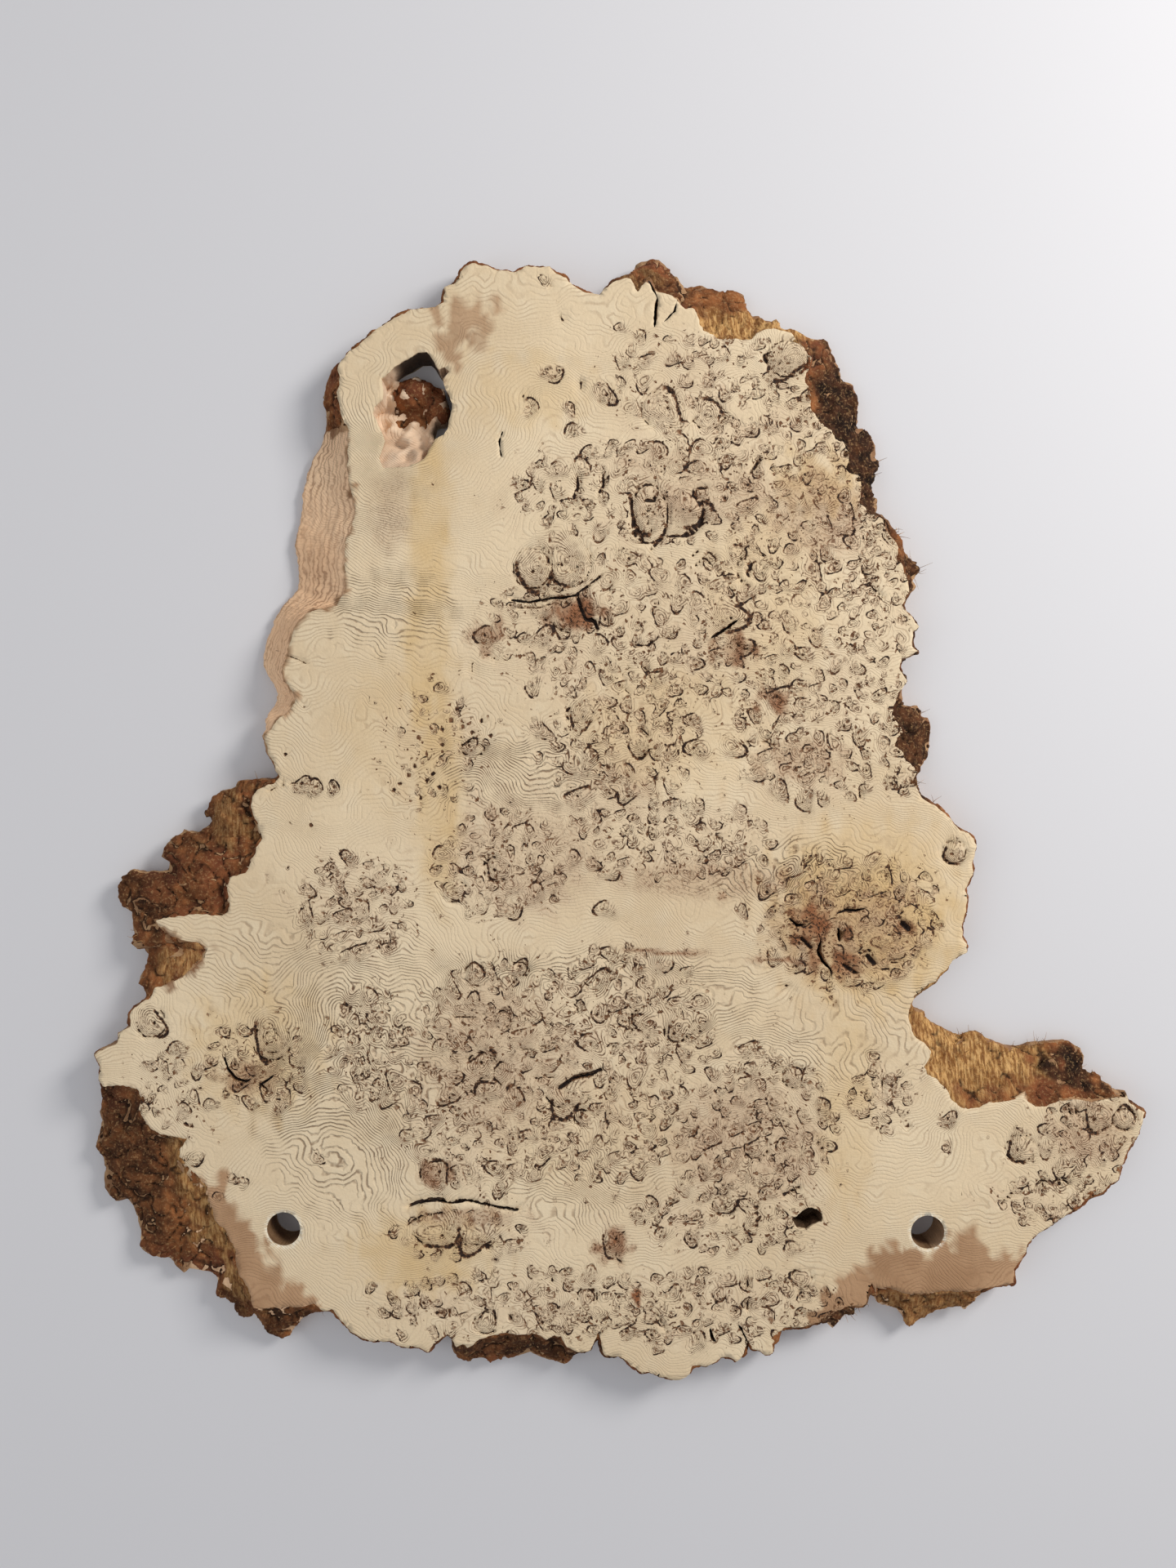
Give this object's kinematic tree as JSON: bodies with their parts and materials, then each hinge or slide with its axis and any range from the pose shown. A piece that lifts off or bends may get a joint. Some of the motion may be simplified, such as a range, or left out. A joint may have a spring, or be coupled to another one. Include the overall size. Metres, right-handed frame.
{
  "type": "oak burl slab",
  "caption": "Live-edge slab sawn from an oak burl, with a figured face of burl eyes, bark ledges round the rim, a natural hollow, a knot hole and drilled holes for fixing",
  "frame": {"origin": "middle of the slab's outline, on its sawn back", "axes": "+Z out of the figured sawn face, +Y along the slab's length towards the rounded crown"},
  "size_m": [0.7052, 0.7544, 0.025],
  "materials": {
    "oak_burl": "sawn and bare"
  },
  "bodies": {
    "root": {"burl_slab": "oak_burl"}
  },
  "joints": []
}
